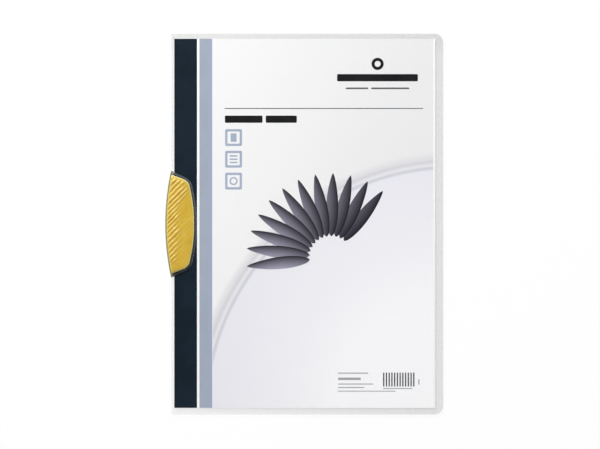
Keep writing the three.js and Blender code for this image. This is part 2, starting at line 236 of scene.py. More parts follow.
# A matt or satin surface whose gloss and fine relief follow one grain.
def grainedSurface(tree, output, place, colour, look):
    grain = noise(tree, place, look["grainScale"], look["grainDetail"])
    shader = addNode(tree, "ShaderNodeBsdfPrincipled", {
        "Base Color": colour,
        "Roughness": mapRange(tree, grain, *midNoise, *look["roughness"]),
        "Specular IOR Level": look["shine"],
        "Normal": bump(tree, grain, look["grainStrength"], look["grainDepth"]),
    })
    tree.links.new(shader.outputs[0], output.inputs[0])


# A colour as it looks on screen, 0 to 255, in the linear values that shaders take.
def screenColour(red, green, blue):
    channels = np.array([red, green, blue]) / 255
    linear = np.where(channels <= 0.04045, channels / 12.92, ((channels + 0.055) / 1.055) ** 2.4)
    return (*linear.tolist(), 1.0)


# Camera: straight above the folder, framed like the photograph
cameraSetup = {
    "imageWidth": 600,
    "imageHeight": 449,
    "mmPerPixel": 0.8043,
    "spinePixelX": 171.0,  # the spine edge in the photograph's frame
    "middlePixelY": 224.15,  # the cover's mid-height there
    "lens": 120,
    "sensor": 36,
    "nearest": 10,
}


# The camera's distance gives the frame's width at the height of the front film: width by lens over sensor.
def makeCamera(setup):
    data = bpy.data.cameras.new("camera")
    data.lens = setup["lens"]
    data.sensor_width = setup["sensor"]
    data.sensor_fit = "HORIZONTAL"
    data.clip_start = setup["nearest"] * mm
    camera = bpy.data.objects.new("camera", data)
    bpy.context.collection.objects.link(camera)
    x = spineX + (setup["imageWidth"] / 2 - setup["spinePixelX"]) * setup["mmPerPixel"]
    y = (setup["middlePixelY"] - setup["imageHeight"] / 2) * setup["mmPerPixel"]
    width = setup["imageWidth"] * setup["mmPerPixel"]
    distance = width * setup["lens"] / setup["sensor"]
    camera.location = Vector((x, y, frontHigh[2] + distance)) * mm
    bpy.context.scene.camera = camera


makeCamera(cameraSetup)
print("camera placed")


# Clip plastic: satin golden yellow, faintly mottled, with the fine grain of a moulded part, and with a
# painted sheen on the fold, a painted highlight on the rim and painted shade on the wall and lower jaw
clipPlastic = {
    "colour": (208, 173, 62),
    "paler": (213, 180, 72),
    "deeper": (203, 165, 54),
    "foldSheen": (206, 184, 92),  # painted sheen: a paler, greyer band where the upper jaw turns down beside the spine
    "rim": (212, 203, 140),  # painted highlight: a pale line along the thin edge of the upper jaw
    "wall": (126, 115, 58),  # painted shade on the outer wall and the lower jaw, under the upper jaw
    "roughness": (0.28, 0.38),
    "ior": 1.5,
    "glowShare": 0.12,  # light that enters the plastic and comes out again
    "glowReach": 1.2,
    "glowRadius": (1.0, 0.6, 0.2),
    "mottleScale": 120,
    "paleRange": (0.52, 0.75),
    "deepRange": (0.48, 0.25),
    "grainScale": 2600,
    "grainStrength": 0.35,
    "grainDepth": 0.012,
}


def makeClipPlastic(look):
    material, tree, output = newMaterial("clipPlastic")
    place = objectPlace(tree)
    mottle = noise(tree, place, look["mottleScale"], 3)
    grain = noise(tree, place, look["grainScale"], 2)
    pale = mapRange(tree, mottle, *look["paleRange"])
    deep = mapRange(tree, mottle, *look["deepRange"])
    colour = mixColour(tree, pale, screenColour(*look["colour"]), screenColour(*look["paler"]))
    colour = mixColour(tree, deep, colour, screenColour(*look["deeper"]))
    # painted light and shade: a paler band on the fold, a pale highlight along the rim, and shade on the
    # wall and the lower jaw
    for part in ("foldSheen", "rim", "wall"):
        share = addNode(tree, "ShaderNodeAttribute", attribute_name=part).outputs["Fac"]
        colour = mixColour(tree, share, colour, screenColour(*look[part]))
    shader = addNode(tree, "ShaderNodeBsdfPrincipled", {
        "Base Color": colour,
        "Roughness": mapRange(tree, mottle, *midNoise, *look["roughness"]),
        "IOR": look["ior"],
        "Subsurface Weight": look["glowShare"],
        "Subsurface Scale": look["glowReach"] * mm,
        "Subsurface Radius": look["glowRadius"],
        "Normal": bump(tree, grain, look["grainStrength"], look["grainDepth"]),
    })
    tree.links.new(shader.outputs[0], output.inputs[0])
    return material


# Clip: its outlines from above and its section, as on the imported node
clipForm = {
    "halfLength": 39.5,
    "tipWidth": 1.4,
    "shoulder": (14.5, 34.5, 8.5),  # x from the spine, y and radius
    "flank": (18.75, 13.0),
    "flankStraight": 2.2,  # straight run on each side of mid-length
    "lowerHalfLength": 42.9,
    "lowerTipWidth": 0.5,
    "lowerRim": 2.2,
    "bowHalfChord": 43.4,
    "lowerThickness": 1.4,
    "lowerBevel": 0.45,
    "upperUnderside": 3.8,
    "edgeThickness": 0.9,
    "edgeRoundWidth": 1.6,
    "edgeRoundHeight": 0.9,
    "crown": 0.9,
    "spineRoundWidth": 2.2,
    "spineRoundHeight": 1.6,
    "undersideEase": 0.2,
    "lean": 0.8,  # how far in the upper jaw stands from the lower one, beside the spine
    "webInner": -0.4,
    "webLeast": 1.0,
    "webTop": 29.2,
    "webStep": 0.06,
    "webFoot": 0.7,  # share of the lower bevel at which the web starts
    "webLevels": 9,
    "shankRadius": 2.6,
    "pivotClearance": 0.15,
    "boreHeights": (-1, 2.5),
    "recessAbove": 0.1,
    "rows": 420,
    "columns": 96,
    "crowding": 0.55,  # draws the columns towards both edges
    "bowPoints": 160,
    "bevelPoints": 5,
    "smoothAngle": 38,
}

# Ridges: slanting folds, each with its own strength and length, strongest beside the bow
clipRidges = {
    "pitch": 4.0,
    "height": 0.6,
    "slant": 45,
    "wander": 0.03,
    "wanderPitches": 3,
    "spacing": (0.22, 46.0, 6.0),  # how far the pitch drifts, over what length, and from where
    "strength": (0.75, 1.1),
    "longer": (-1.6, 2.4),
    "kinds": 64,  # ridges with a strength and length of their own
    "skew": 0.6,
    "sharpness": 1.5,
    "lowest": (-33.0, -28.0),  # they fade out between these heights
    "reach": 9.0,
    "reachAtTop": 15.0,
    "reachTurn": (0.25, 0.7),  # shares of the half length between which the reach grows
    "fromBow": 0.5,
    "fade": 7.0,
    "faint": 0.1,  # what is left of them on the smooth side
    "seed": 11,
}

# Where the painted sheen, highlight and shade fade: heights from the jaw's underside, and distances from
# its edges
clipMarks = {
    "above": (-0.1, 0.1),
    "below": (-1.0, 0.3),
    "foldSheen": (1.1, 2.1),
    "rim": (0.5, 1.2),
    "wall": (0.3, 1.0),
}


# How far the bow stands out past the spine.
def clipOverhang():
    return spineX - clipLow[0]


# Radius of the bow's outer edge: half of (half chord squared plus rise squared) by the rise.
def bowRadius():
    rise = clipOverhang()
    return (clipForm["bowHalfChord"] ** 2 + rise ** 2) / (2 * rise)


# x of the bow's outer edge: an arc of the bow's radius, moved inwards by the given amount.
def bowX(y, inward=0.0):
    radius = bowRadius()
    return radius - clipOverhang() - np.sqrt(radius ** 2 - y ** 2) + inward


# The free side of a jaw, from its lower tip round to its upper tip: straight lines with rounded corners.
# The flank's radius is its height less the straight run, by the tangent of half its turn.
def freeSide(halfLength, tipWidth, rim):
    form = clipForm
    shoulderX, shoulderY, shoulderRadius = form["shoulder"]
    flankX, flankY = form["flank"]
    turn = math.atan2(flankX - shoulderX, shoulderY + rim / 2 - flankY)
    flankRadius = (flankY - form["flankStraight"]) / math.tan(turn / 2)
    half = [
        (tipWidth, halfLength, 0),
        (shoulderX + rim, shoulderY + rim / 2, shoulderRadius),
        (flankX + rim, flankY, flankRadius),
    ]
    corners = [(x, -y, r) for x, y, r in half] + half[::-1]
    return roundCorners(corners, steps=24)


# Distance of points to a line of straight pieces: the least of the distances to the single pieces.
def distanceToLine(points, line):
    start, side = line[:-1], np.diff(line, axis=0)
    lengths = (side ** 2).sum(1)
    least = np.full(len(points), 1e9)
    for a, d, length in zip(start, side, lengths):
        along = np.clip(((points - a) @ d) / length, 0, 1)
        least = np.minimum(least, np.linalg.norm(points - a - along[:, None] * d, axis=1))
    return least


# Height of the ridges: a skewed cosine across each slanting crest, times how strong that crest is there.
def ridgeHeight(x, y, fromBow, fromFree):
    look = clipRidges
    pitch = look["pitch"]
    wave = 2 * math.pi / (look["wanderPitches"] * pitch)
    wander = look["wander"] * (np.sin((x + y) * wave) + np.sin((y / 2 - x) * wave))
    drift, length, origin = look["spacing"]
    along = y - x * math.tan(math.radians(look["slant"]))
    phase = along / pitch + wander + drift * np.sin(2 * math.pi * (along - origin) / length)
    chance = np.random.default_rng(look["seed"])
    strength = chance.uniform(*look["strength"], look["kinds"])
    longer = chance.uniform(*look["longer"], look["kinds"])
    crestNumber = np.round(phase).astype(int) % look["kinds"]
    turn = 2 * math.pi * phase
    crest = (0.5 + 0.5 * np.cos(turn - look["skew"] * np.sin(turn))) ** look["sharpness"]
    towardsTop = smoothstep(y / clipForm["halfLength"], *look["reachTurn"])
    reach = look["reach"] + (look["reachAtTop"] - look["reach"]) * towardsTop + longer[crestNumber]
    across = 1 - smoothstep(x, reach - look["fade"], reach)
    across = look["faint"] + (1 - look["faint"]) * across
    start = smoothstep(fromBow, look["fromBow"], clipForm["spineRoundWidth"])
    end = smoothstep(fromFree, clipForm["edgeRoundWidth"] / 2, clipForm["edgeRoundWidth"] * 2)
    lowest = smoothstep(y, *look["lowest"])
    return look["height"] * strength[crestNumber] * crest * across * start * end * lowest


# Upper jaw: for each y a closed section, with the crowned, ridged top and a flat underside.
def upperJaw():
    form = clipForm
    half = form["halfLength"]
    side = freeSide(half, form["tipWidth"], 0.0)
    y = np.linspace(-half, half, form["rows"])
    u = np.linspace(0, 1, form["columns"])
    across = u - form["crowding"] * np.sin(2 * math.pi * u) / (2 * math.pi)
    left = bowX(y, form["lean"])
    right = np.interp(y, side[:, 1], side[:, 0])
    x = left[:, None] + (right - left)[:, None] * across
    yGrid = np.broadcast_to(y[:, None], x.shape)
    fromFree = distanceToLine(np.column_stack([x.ravel(), yGrid.ravel()]), side).reshape(x.shape)
    fromBow = x - left[:, None]
    rim = form["edgeRoundHeight"] * roundedEdge(fromFree, form["edgeRoundWidth"])
    tipFade = roundedEdge(half - np.abs(yGrid), form["edgeRoundWidth"] * 2)
    shoulder = form["spineRoundHeight"] * (roundedEdge(fromBow, form["spineRoundWidth"]) - 1)
    flankX = form["flank"][0]
    crown = form["crown"] * np.clip((flankX - x) / flankX, 0, 1)
    rise = rim + crown * roundedEdge(fromFree, form["edgeRoundWidth"] * 3) * tipFade
    cut = np.maximum(shoulder, -rise) * tipFade
    top = form["upperUnderside"] + form["edgeThickness"] + rise + cut
    top = top + ridgeHeight(x, yGrid, fromBow, fromFree)
    low = form["upperUnderside"]
    soft = form["undersideEase"]
    tuck = np.minimum(soft, (right - left) / 4)
    sections = [
        np.stack([x, yGrid, top], -1),
        np.stack([right, y, np.full(len(y), low + soft)], -1)[:, None],
        np.stack([right - tuck, y, np.full(len(y), low)], -1)[:, None],
        np.stack([left + tuck, y, np.full(len(y), low)], -1)[:, None],
        np.stack([left, y, np.full(len(y), low + soft)], -1)[:, None],
    ]
    grid = np.concatenate(sections, axis=1)
    rows, columns = grid.shape[:2]
    return grid.reshape(-1, 3), [f[::-1] for f in loftFaces(rows, columns)]


# Lower jaw: the leaf-shaped outline in rings, eased round its upper and lower edges.
def lowerJaw():
    form = clipForm
    half = form["lowerHalfLength"]
    y = np.linspace(half, -half, form["bowPoints"])
    side = freeSide(half, form["lowerTipWidth"], form["lowerRim"])
    outline = np.concatenate([side, np.column_stack([bowX(y), y])])
    turn = np.linspace(0, math.pi / 2, form["bevelPoints"])
    bevel = form["lowerBevel"]
    insets = np.concatenate([bevel * (1 - np.sin(turn)), bevel * (1 - np.cos(turn))])
    heights = np.concatenate([
        bevel * (1 - np.cos(turn)),
        form["lowerThickness"] - bevel * (1 - np.sin(turn)),
    ])
    return loft([insetLoop(outline, d) for d in insets], heights), loftFaces(len(heights), len(outline))


# Web: joins the jaws outside the spine; its outer face leans in on a smooth S as it rises.
def clipWeb():
    form = clipForm
    inner = form["webInner"]
    leastX = inner - form["webLeast"] - form["lean"]
    radius = bowRadius()
    low = -math.sqrt(radius ** 2 - (radius - clipOverhang() - leastX) ** 2)
    y = np.linspace(form["webTop"], low, form["bowPoints"])
    bottom, top = form["lowerThickness"] / 2, form["upperUnderside"] + form["edgeThickness"] / 2
    heights = np.linspace(bottom, top, form["webLevels"])
    lean = smoothstep(heights, form["lowerThickness"], form["upperUnderside"])
    foot = form["lowerBevel"] * form["webFoot"]
    inward = foot + (form["lean"] + form["webStep"] - foot) * lean
    ends = np.array([[inner, low], [inner, form["webTop"]]])
    loops = [np.concatenate([ends, np.column_stack([bowX(y, d), y])]) for d in inward]
    return loft(loops, heights), loftFaces(len(heights), len(loops[0]))


# A round tool for a bore or recess: one circle at two heights.
def discTool(name, centre, radius, low, high, steps=96):
    turn = np.linspace(0, 2 * math.pi, steps, endpoint=False)
    loop = np.column_stack([np.cos(turn), np.sin(turn)]) * radius + centre
    return makePiece(name, loft([loop, loop], [low, high]), loftFaces(2, steps))


# Joins or subtracts one piece and removes it.
def joinSolids(base, other, operation):
    modifier = base.modifiers.new("join", "BOOLEAN")
    modifier.operation = operation
    modifier.solver = "EXACT"
    modifier.object = other
    shaped = base.evaluated_get(bpy.context.evaluated_depsgraph_get())
    mesh = bpy.data.meshes.new_from_object(shaped)
    base.modifiers.clear()
    base.data = mesh
    bpy.data.objects.remove(other)


# Marks for the painted light and shade: the fold's sheen and the rim's highlight fade out from the bow and
# from the free side, and the wall's shade lies below the jaw.
def markClip(clip):
    mesh = clip.data
    places = np.empty(len(mesh.vertices) * 3)
    mesh.vertices.foreach_get("co", places)
    x, y, z = places.reshape(-1, 3).T / mm - np.array([[spineX], [0], [0]])
    form = clipForm
    side = freeSide(form["halfLength"], form["tipWidth"], 0.0)
    away = distanceToLine(np.column_stack([x, y]), side)
    fromBow = x - bowX(y, form["lean"])
    height = z - form["upperUnderside"]
    above = smoothstep(height, *clipMarks["above"])
    below = 1 - smoothstep(height, *clipMarks["below"])
    marks = {
        "foldSheen": (1 - smoothstep(fromBow, *clipMarks["foldSheen"])) * above,
        "rim": (1 - smoothstep(away, *clipMarks["rim"])) * above,
        "wall": np.maximum(below, 1 - smoothstep(fromBow, *clipMarks["wall"])),
    }
    for name, values in marks.items():
        mesh.attributes.new(name, "FLOAT", "POINT").data.foreach_set("value", values.astype(np.float32))


# Upper jaw, lower jaw and web as one solid, less the bore for the shank and the recess for the cap.
def makeClip():
    form = clipForm
    toSpine = np.array([spineX, 0, 0])
    points, faces = upperJaw()
    clip = makePiece("clip_body", points + toSpine, faces)
    for name, (points, faces) in {"lower": lowerJaw(), "web": clipWeb()}.items():
        joinSolids(clip, makePiece(name, points + toSpine, faces), "UNION")
    pivot = ((capLow + capHigh) / 2)[:2]
    clearance = form["pivotClearance"]
    recessRadius = (capHigh[0] - capLow[0]) / 2 + 2 * clearance
    low, high = form["boreHeights"]
    recess = discTool("recess", pivot, recessRadius, low, capHigh[2] + form["recessAbove"])
    joinSolids(clip, recess, "DIFFERENCE")
    bore = discTool("bore", pivot, form["shankRadius"] + clearance, low, high)
    joinSolids(clip, bore, "DIFFERENCE")
    smoothPiece(clip, form["smoothAngle"])
    markClip(clip)
    return finishPiece(clip, "clip", "clip_plastic", makeClipPlastic(clipPlastic), "swing_clip")


clipPiece = makeClip()
print("clip: %d faces" % len(clipPiece.data.polygons))


# Clear film: a faint haze over a clear pane, with a soft gloss and a trace of waviness; painted shade on
# its edges and across the back film, and a painted highlight on the bead
filmLook = {
    "frontHaze": 0.004,
    "frontColour": (235, 238, 240),
    "backHazeAndShade": (0.15, 0.587),  # the back film's haze with painted shade: at the spine and at the opening edge's top corner
    "backColour": (190, 192, 190),
    # painted highlight: the bead's haze draws a pale halo round the clip
    "beadHighlightHaze": 0.09,
    "upSlope": 0.1,  # how much of the painted shade's slope runs up the sheet
    "slopeRange": (-0.58, 1.2),
    "topEdgeShade": (0.44, 0.5, 0.62),  # painted shade: the top grows hazier, and so darker, between these heights, and by how much
    "upperFrom": (1.9, 2.6),  # heights between which the film turns from back to front
    "unevenness": (0.975, 1.025),
    # painted shade: extra haze and a grey tint on the film's slanted edges and fold, for the dark line a
    # clear edge shows
    "edgeHazeAndShade": 0.12,
    "edgeShadeColour": (132, 137, 140),
    "edgeSlant": (0.55, 0.85, 1.0),  # where the painted edge shade begins, has its full colour and its full haze
    "ior": 1.25,
    "gloss": (0.144, 0.234),
    "waveScale": 14,
    "waveStrength": 0.2,
    "waveDepth": 0.25,
    "scuffScale": 900,
}


# Film shader: haze mixed over clear, with painted shade on the film's edges and fold, where more haze and a
# grey tint draw the dark line of a clear edge, then gloss by Fresnel. The haze is the whole film's above
# the sheet; below it the haze runs between the two ends of a slope, partly the film's own haze and partly
# painted shade that darkens it towards the opening edge and the top. Each of the film's two faces lets the
# root of the clear share through.
def makeFilm(name, haze, colour, look):
    material, tree, output = newMaterial(name)
    place = objectPlace(tree)
    wave = noise(tree, place, look["waveScale"], 1)
    scuff = noise(tree, place, look["scuffScale"], 3)
    normal = bump(tree, wave, look["waveStrength"], look["waveDepth"])
    # painted shade: the slant of the object normal adds haze and a grey tint on the film's edges and fold
    facing = addNode(tree, "ShaderNodeTexCoord").outputs["Normal"]
    turned = addNode(tree, "ShaderNodeSeparateXYZ", {0: facing})
    slant = math2(tree, "SUBTRACT", 1.0, math2(tree, "ABSOLUTE", turned.outputs[2]))
    edgeFrom, edgeColoured, edgeFull = look["edgeSlant"]
    edgeOn = mapRange(tree, slant, edgeFrom, edgeFull, 0.0, look["edgeHazeAndShade"])
    perFace = [1 - math.sqrt(1 - total) for total in haze]
    parts = addNode(tree, "ShaderNodeSeparateXYZ", {0: place})
    across = math2(tree, "DIVIDE", parts.outputs[0], float(backHigh[0] - backLow[0]) * mm)
    upTheSheet = math2(tree, "DIVIDE", parts.outputs[1], float(backHigh[1] - backLow[1]) * mm)
    topFrom, topTo, topShade = look["topEdgeShade"]
    topEdgeShade = mapRange(tree, upTheSheet, topFrom, topTo, 0.0, topShade)
    # painted shade: below the sheet the haze grows towards the opening edge and the top, darkening the film
    # there
    shadeSlope = math2(tree, "ADD", math2(tree, "MULTIPLY_ADD", upTheSheet, look["upSlope"], across), topEdgeShade)
    hazeAndShade = mapRange(tree, shadeSlope, *look["slopeRange"], *perFace[-2:], smooth=False)
    low, high = look["upperFrom"]
    upwards = mapRange(tree, parts.outputs[2], low * mm, high * mm)
    amount = math2(tree, "MULTIPLY_ADD", upwards, math2(tree, "SUBTRACT", perFace[0], hazeAndShade), hazeAndShade)
    amount = math2(tree, "MULTIPLY", amount, mapRange(tree, scuff, *midNoise, *look["unevenness"]))
    dense = math2(tree, "ADD", amount, edgeOn, clamp=True)
    clear = addNode(tree, "ShaderNodeBsdfTransparent", {"Color": (1, 1, 1, 1)})
    edgeShare = mapRange(tree, slant, edgeFrom, edgeColoured)
    tint = mixColour(tree, edgeShare, screenColour(*colour), screenColour(*look["edgeShadeColour"]))
    body = addNode(tree, "ShaderNodeBsdfDiffuse", {"Color": tint, "Normal": normal})
    pane = addNode(tree, "ShaderNodeMixShader", {0: dense, 1: clear.outputs[0], 2: body.outputs[0]})
    fresnel = addNode(tree, "ShaderNodeFresnel", {"IOR": look["ior"], "Normal": normal}).outputs[0]
    innerFace = addNode(tree, "ShaderNodeNewGeometry").outputs["Backfacing"]
    outerFace = math2(tree, "SUBTRACT", 1.0, innerFace)
    shine = math2(tree, "MULTIPLY", fresnel, outerFace)  # the light goes straight through, so only once
    gloss = addNode(tree, "ShaderNodeBsdfGlossy", {
        "Color": (1, 1, 1, 1),
        "Roughness": mapRange(tree, scuff, *midNoise, *look["gloss"]),
        "Normal": normal,
    })
    surface = addNode(tree, "ShaderNodeMixShader", {0: shine, 1: pane.outputs[0], 2: gloss.outputs[0]})
    tree.links.new(surface.outputs[0], output.inputs[0])
    return material


# Cover: the film's thickness, its corners and how finely it is divided
coverForm = {
    "film": 0.5,
    "cornerRadius": 7.0,
    "cornerPoints": 14,
    "edgeRound": 0.16,
    "edgePoints": 5,
    "edgeClear": 1.1,  # columns nearer to the outer edge than this many roundings are left out
    "rows": 61,
    "columns": 46,
    "stripColumns": 10,
    "foldSteps": 16,
    "creaseGap": 0.3,
    "smoothAngle": 30,
    "waveHeight": 0.05,
    "waveFrom": (5, 60),  # grows to its full height between these distances from the crease
    "waveLengths": (23, 31, 41, 57),
    "secondWave": 0.6,
}

# Crease web, measured from the front panel's edge and down from its top
creaseForm = {"from": -0.36, "to": 0.06, "below": 0.01, "thickness": 0.12, "halfBlend": 0.15, "columns": 8}

beadForm = {
    "fromJaw": 1.05,
    "fromSpine": 1.55,
    "halfWidth": 0.8,
    "height": 0.2,
    "sunk": 0.02,
    "points": 9,
    "smoothAngle": 40,
}


# Half of the film's height at each x: less by an arc within the corner radius of the opening edge.
def coverHalfHeight(x):
    radius = coverForm["cornerRadius"]
    past = np.clip(x - (backHigh[0] - radius), 0, radius)
    return backHigh[1] - radius + np.sqrt(radius ** 2 - past ** 2)


# Columns from one x to another, crowded towards the rounded corners at the opening edge.
def coverColumns(fromX):
    radius = coverForm["cornerRadius"]
    straight = np.linspace(fromX, backHigh[0] - radius, coverForm["columns"])
    turn = np.linspace(0, math.pi / 2, coverForm["cornerPoints"])[1:]
    return np.concatenate([straight, backHigh[0] - radius + radius * np.sin(turn)])


# A film: a path of (x, z) points with half its thickness to each side, carried along y. Towards all four
# edges it thins by a quarter circle, and a sum of sines across the sheet makes it wavy.
def filmSheet(name, pathX, pathZ, waveHeight):
    half = coverForm["film"] / 2
    ease = coverForm["edgeRound"]
    turn = np.linspace(0, math.pi / 2, coverForm["edgePoints"])
    away = ease * (1 - np.cos(turn))
    thin = half - ease * (1 - np.sin(turn))
    keep = np.abs(pathX - pathX[-1]) > coverForm["edgeClear"] * ease
    keep[0] = False
    inwards = np.sign(pathX[1] - pathX[0])
    x = np.concatenate([pathX[0] + inwards * away, pathX[keep], pathX[-1] - away[::-1]])
    z = np.concatenate([np.full(len(away), pathZ[0]), pathZ[keep], np.full(len(away), pathZ[-1])])
    tangent = np.stack([np.gradient(x), np.gradient(z)])
    tangent /= np.linalg.norm(tangent, axis=0)
    reach = coverHalfHeight(x)
    middle = np.linspace(-1, 1, coverForm["rows"])[:, None] * (reach - 2 * ease)
    y = np.concatenate([away[:, None] - reach, middle, reach - away[::-1, None]])
    alongX = np.concatenate([thin, np.full(keep.sum(), half), thin[::-1]])
    alongY = np.concatenate([thin, np.full(len(middle), half), thin[::-1]])
    thickness = np.minimum(alongY[:, None], alongX)
    wave = waveHeight * smoothstep(x - frontLow[0], *coverForm["waveFrom"])
    a, b, c, d = coverForm["waveLengths"]
    second = coverForm["secondWave"] * np.sin(x / c - y / d)
    ripple = wave * (np.sin(x / a + 1) * np.sin(y / b) + second)
    sides = []
    for side in (1, -1):
        offset = side * thickness
        points = np.stack([x - offset * tangent[1], y, z + offset * tangent[0] + ripple], -1)
        sides.append(points[:, ::side])
    grid = np.concatenate(sides, axis=1)
    rows, ring = grid.shape[:2]
    j = np.arange(len(x) - 1)
    cap = np.stack([j, j + 1, ring - 2 - j, ring - 1 - j], -1)
    faces = np.concatenate([gridQuads(rows, ring, closed=True), cap[:, ::-1], cap + (rows - 1) * ring])
    return makePiece(name, grid.reshape(-1, 3), faces, coverForm["smoothAngle"])


# Back film: from the crease over the front strip, round the spine in a half circle, and under the sheet.
def makeBackFilm(material):
    half = coverForm["film"] / 2
    stripZ = frontHigh[2] - half
    backZ = backLow[2] + half
    radius = (stripZ - backZ) / 2
    foldX = spineX + half + radius
    strip = np.linspace(frontLow[0] - coverForm["creaseGap"], foldX, coverForm["stripColumns"])
    turn = np.linspace(math.pi / 2, 3 * math.pi / 2, coverForm["foldSteps"])[1:-1]
    columns = coverColumns(foldX)
    pathX = np.concatenate([strip, foldX + radius * np.cos(turn), columns])
    pathZ = np.concatenate([
        np.full(len(strip), stripZ),
        (stripZ + backZ) / 2 + radius * np.sin(turn),
        np.full(len(columns), backZ),
    ])
    film = filmSheet("film_back", pathX, pathZ, 0.0)
    return finishPiece(film, "cover", "cover_film", material, "back_cover")


# Front film: flat beside the crease, faintly wavy further out.
def makeFrontFilm(material):
    pathX = coverColumns(frontLow[0])
    z = np.full(len(pathX), frontHigh[2] - coverForm["film"] / 2)
    film = filmSheet("film_front", pathX, z, coverForm["waveHeight"])
    return finishPiece(film, "front_panel", "cover_film", material, "front_cover")


# Hinge web: the thin film left at the crease.
def makeCreaseWeb(material):
    form = creaseForm
    x = np.linspace(frontLow[0] + form["from"], frontLow[0] + form["to"], form["columns"])
    y = np.linspace(backLow[1], backHigh[1], coverForm["rows"])
    top = frontHigh[2] - form["below"]
    low = top - form["thickness"]
    upper = np.stack(np.broadcast_arrays(x, y[:, None], top), -1)
    under = np.stack(np.broadcast_arrays(x[::-1], y[:, None], low), -1)
    grid = np.concatenate([upper, under], axis=1)
    rows, columns = grid.shape[:2]
    web = makePiece("crease_web", grid.reshape(-1, 3), loftFaces(rows, columns))
    web.data.materials.append(material)
    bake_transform(web)


# Raised line round the place of the clip: a half-round profile carried along the jaw's outline.
def makeBead(material):
    bead = beadForm
    halfLength = clipForm["halfLength"]
    side = freeSide(halfLength, clipForm["tipWidth"], 0.0)
    startX = bead["fromSpine"] + bead["fromJaw"]
    side = side[side[:, 0] > startX]
    ends = np.array([[startX, halfLength], [startX, -halfLength]])
    path = insetLoop(np.concatenate([side, ends]), -bead["fromJaw"])
    turn = np.linspace(0, math.pi, bead["points"])
    loops = [insetLoop(path, -bead["halfWidth"] * share) for share in np.cos(turn)]
    heights = frontHigh[2] - bead["sunk"] + (bead["height"] + bead["sunk"]) * np.sin(turn)
    rows, columns = len(loops), len(path)
    quads = gridQuads(rows + 1, columns, closed=True) % (rows * columns)
    points = loft(loops, heights) + [spineX, 0, 0]
    piece = makePiece("clip_outline_bead", points, quads, bead["smoothAngle"])
    return finishPiece(piece, "cover", "cover_film", material)


clearHaze = filmLook["frontHaze"]
frontMaterial = makeFilm("frontFilm", (clearHaze,) * 3, filmLook["frontColour"], filmLook)
backMaterial = makeFilm("backFilm", (clearHaze, *filmLook["backHazeAndShade"]), filmLook["backColour"], filmLook)
beadMaterial = makeFilm("beadFilm", (filmLook["beadHighlightHaze"],) * 3, filmLook["frontColour"], filmLook)
makeFrontFilm(frontMaterial)
makeBackFilm(backMaterial)
makeCreaseWeb(frontMaterial)
makeBead(beadMaterial)
print("film cover made")


# Insert sheet: smooth paper with a printed field, a broad pale arc and a fading disc below it
sheetPrint = {
    "paper": (252, 252, 253),
    "field": (236, 236, 236),
    # painted shade: the printed field grows darker towards its right side
    "fieldShadedFarSide": (229, 229, 230),
    "rightMargin": (243, 243, 243),
    "fieldLeft": 30.9,
    "fieldRight": 208.4,
    "discCentre": (226.0, 304.0),  # from the sheet's left edge and down from its top edge
    "discRadius": 208.0,
    "discEdge": (1.0, 1.03),
    # colours from the disc's centre to its edge, with the pale double arc outside it
    "stops": [
        (0.0, (247, 247, 248)),
        (0.45, (245, 245, 247)),
        (0.80, (232, 232, 237)),
        (0.955, (228, 228, 234)),
        (0.966, (198, 198, 207)),
        (0.975, (229, 229, 232)),
        (0.990, (206, 206, 211)),
        (1.0, (220, 220, 223)),
    ],
    "rampScale": 0.92,  # the ramp runs to a little past the disc's edge
    "softness": 0.15,
    "topFaces": (0.4, 0.6),
    "roughness": (0.5, 0.62),
    "shine": 0.3,
    "grainScale": 1400,
    "grainDetail": 4,
    "grainStrength": 0.25,
    "grainDepth": 0.02,
}


# A place on the sheet, given to the right and down from its upper left corner.
def sheetPoint(x, y):
    return np.array([sheetLow[0] + x, sheetHigh[1] - y])


